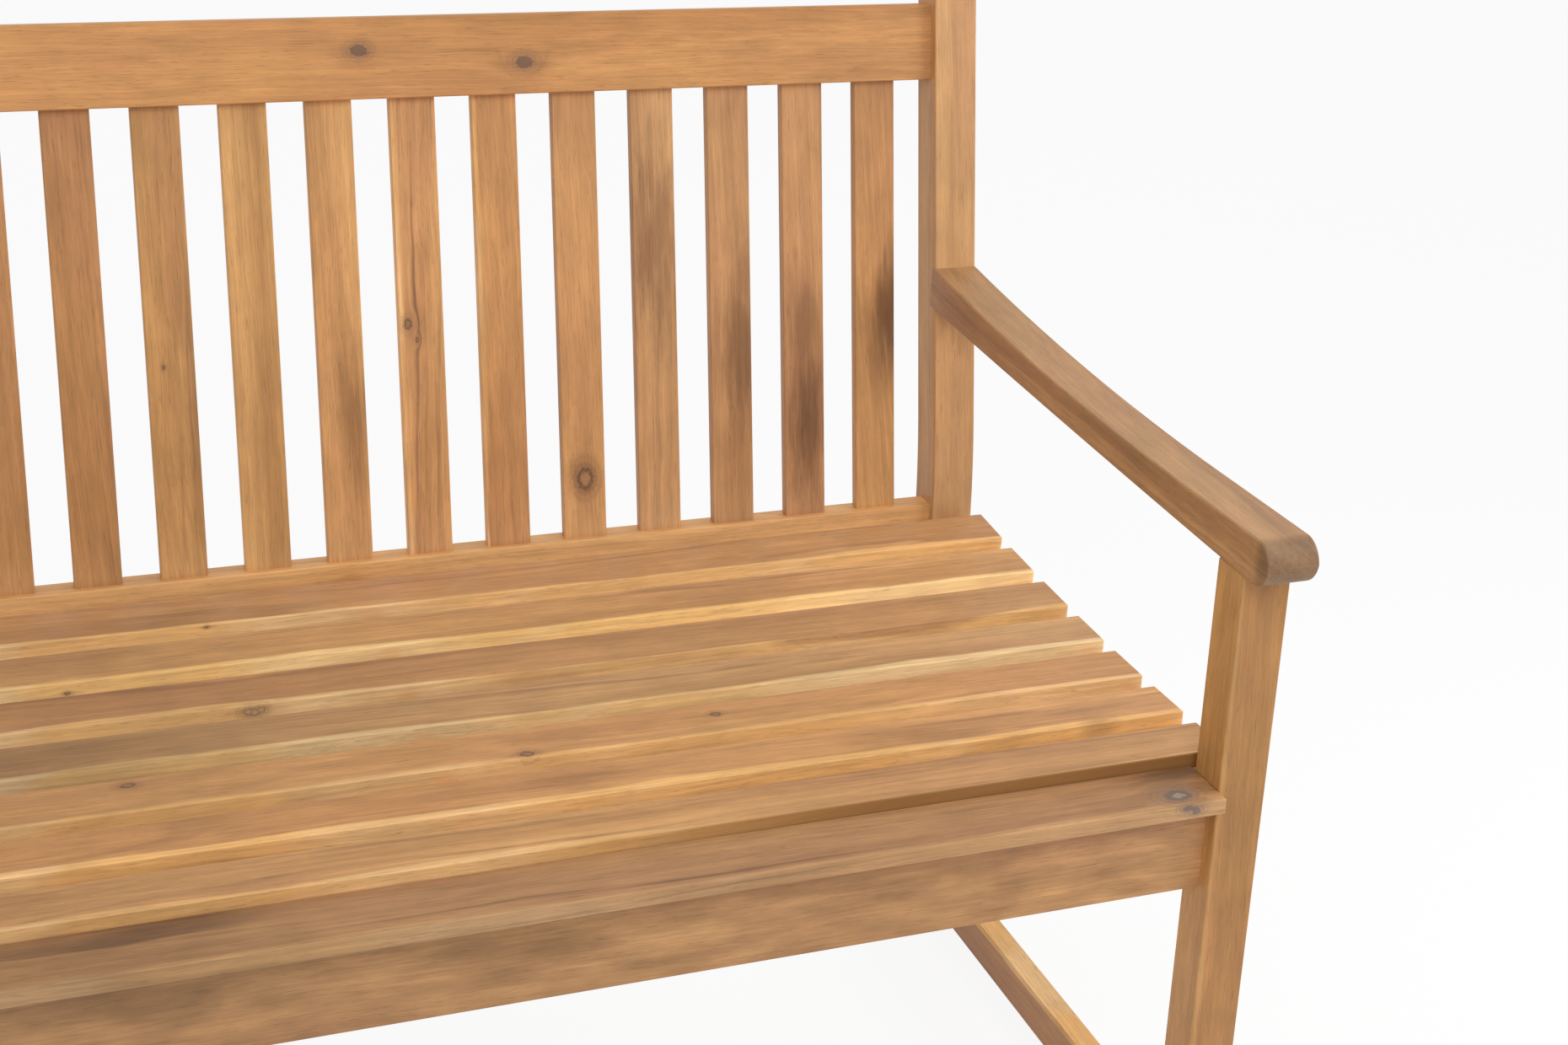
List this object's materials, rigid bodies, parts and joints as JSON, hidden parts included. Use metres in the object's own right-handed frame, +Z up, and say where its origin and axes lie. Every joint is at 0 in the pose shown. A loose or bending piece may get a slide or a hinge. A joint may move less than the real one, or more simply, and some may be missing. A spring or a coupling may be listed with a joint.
{
  "type": "rocking bench",
  "caption": "Slatted hardwood rocking bench with raked slat back, dished slat seat, armrests and curved rockers bolted outside the legs.",
  "frame": {"origin": "on the floor under the middle of the bench's bounding box, which is also where the rockers touch the floor", "axes": "+X along the bench to the right seen from the front, +Y from the front to the back, +Z up"},
  "size_m": [1.2128, 0.8642, 0.9277],
  "materials": {
    "frame_wood": "oiled satin",
    "seat_wood": "oiled satin",
    "back_wood": "oiled satin",
    "steel": "plain"
  },
  "bodies": {
    "root": {"front_leg_left": "frame_wood", "front_leg_right": "frame_wood", "rear_post_left": "frame_wood", "rear_post_right": "frame_wood", "armrest_left": "frame_wood", "armrest_right": "frame_wood", "rocker_left": "frame_wood", "rocker_right": "frame_wood", "side_stretcher_left": "frame_wood", "side_stretcher_right": "frame_wood", "side_seat_rail_left": "frame_wood", "side_seat_rail_right": "frame_wood", "front_apron": "frame_wood", "centre_seat_support": "frame_wood", "lower_back_rail": "back_wood", "top_rail": "back_wood", "back_slat_01": "back_wood", "back_slat_02": "back_wood", "back_slat_03": "back_wood", "back_slat_04": "back_wood", "back_slat_05": "back_wood", "back_slat_06": "back_wood", "back_slat_07": "back_wood", "back_slat_08": "back_wood", "back_slat_09": "back_wood", "back_slat_10": "back_wood", "back_slat_11": "back_wood", "back_slat_12": "back_wood", "back_slat_13": "back_wood", "back_slat_14": "back_wood", "back_slat_15": "back_wood", "seat_slat_1": "seat_wood", "seat_slat_2": "seat_wood", "seat_slat_3": "seat_wood", "seat_slat_4": "seat_wood", "seat_slat_5": "seat_wood", "seat_slat_6": "seat_wood", "seat_slat_7": "seat_wood", "seat_slat_front": "seat_wood", "rocker_bolt_front_left": "steel", "rocker_bolt_front_right": "steel", "rocker_bolt_rear_left": "steel", "rocker_bolt_rear_right": "steel", "rocker_nut_front_left": "steel", "rocker_nut_front_right": "steel", "rocker_nut_rear_left": "steel", "rocker_nut_rear_right": "steel", "front_apron_bolt_left": "steel", "front_apron_bolt_right": "steel", "lower_back_rail_bolt_left": "steel", "lower_back_rail_bolt_right": "steel", "top_rail_bolt_left": "steel", "top_rail_bolt_right": "steel", "armrest_bolt_left": "steel", "armrest_bolt_right": "steel"}
  },
  "joints": []
}
